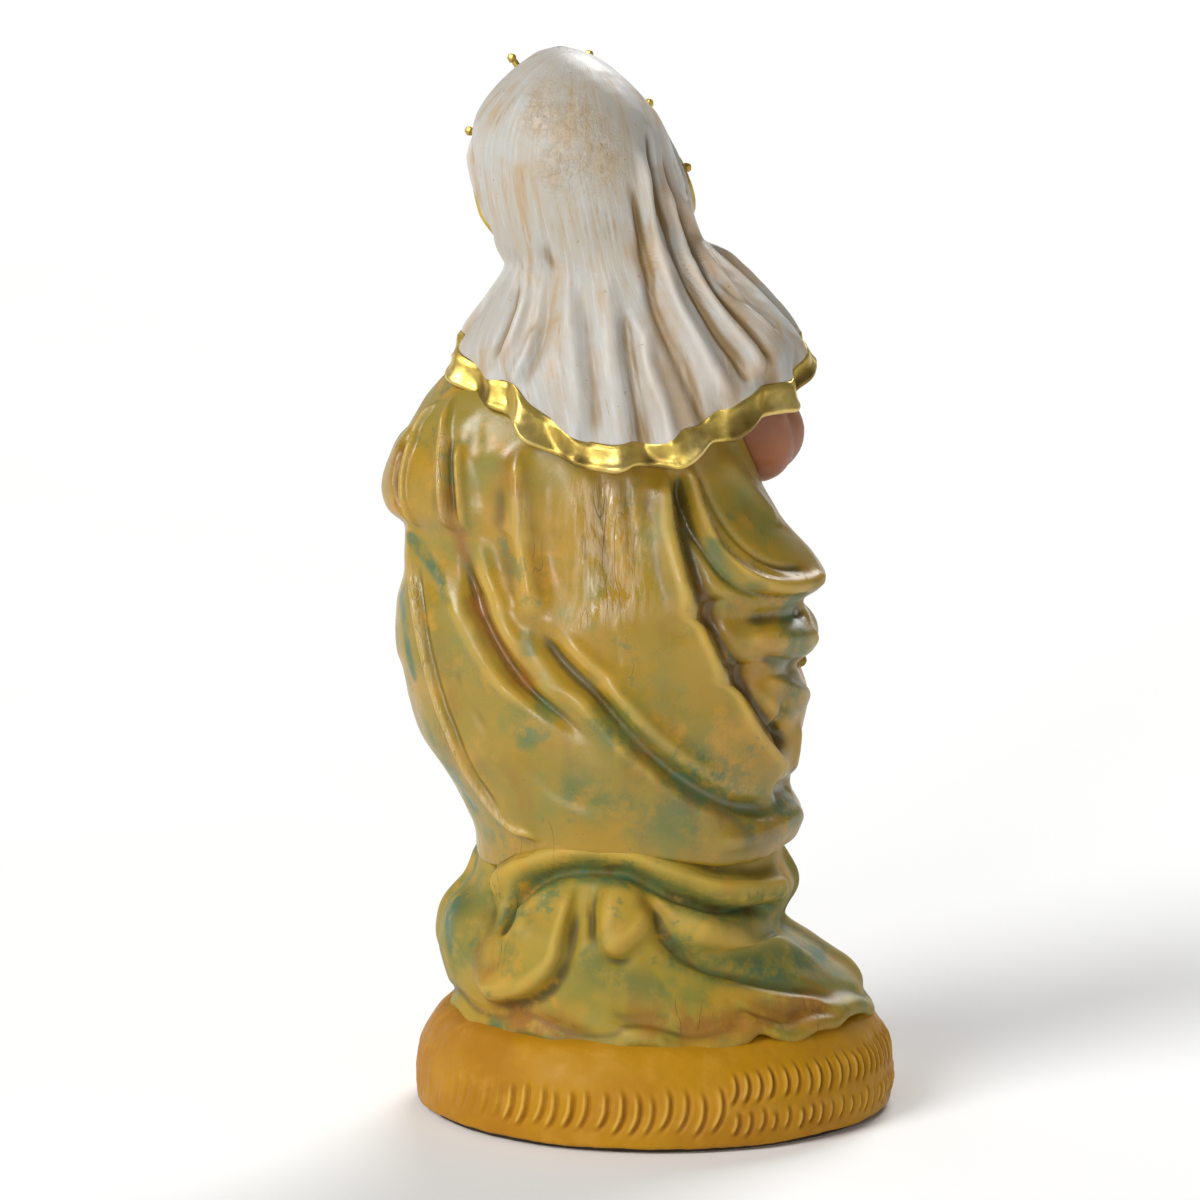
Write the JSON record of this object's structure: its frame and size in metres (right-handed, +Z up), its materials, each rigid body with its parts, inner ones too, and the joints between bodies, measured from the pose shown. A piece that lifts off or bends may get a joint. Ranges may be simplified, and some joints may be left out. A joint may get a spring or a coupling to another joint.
{
  "type": "kneeling madonna statue",
  "caption": "Painted devotional statuette of a kneeling, praying madonna in a long veil and mantle, with a pointed diadem, on a rounded oval base.",
  "frame": {"origin": "middle of the flat underside", "axes": "+Z up, the figure looks along -Y, its right arm is on the -X side"},
  "size_m": [0.1198, 0.104, 0.25],
  "materials": {
    "base_paint": "ochre painted composition, satin, with cut grass strokes",
    "felt": "dark felt",
    "steel": "zinc-plated steel",
    "mantle_paint": "olive ochre painted composition, waxy semi-gloss, with worn teal paint in the folds",
    "drapery_paint": "greener olive ochre painted composition, waxy semi-gloss",
    "tunic_paint": "dusty pink painted composition, satin",
    "skin_paint": "warm flesh painted composition, satin",
    "hair_paint": "brown painted composition, satin",
    "veil_paint": "brushed off-white paint over a pinkish ground, satin",
    "gilding": "gold leaf, worn",
    "wood": "plain turned dowel"
  },
  "bodies": {
    "root": {"base_mound": "base_paint", "base_felt_pad": "felt", "fixing_screw": "steel", "screw_washer": "steel", "tunic": "tunic_paint", "girdle": "gilding", "neck_dowel": "wood", "head": "skin_paint", "right_hand": "skin_paint", "right_cuff": "gilding", "right_sleeve": "tunic_paint", "right_wrist_pin": "steel", "left_hand": "skin_paint", "left_cuff": "gilding", "left_sleeve": "tunic_paint", "left_wrist_pin": "steel", "mantle": "mantle_paint", "lower_drapery": "drapery_paint", "collar": "gilding", "hair": "hair_paint", "veil_hem_trim": "gilding", "veil_front_trim": "gilding", "veil": "veil_paint", "diadem": "gilding"}
  },
  "joints": []
}
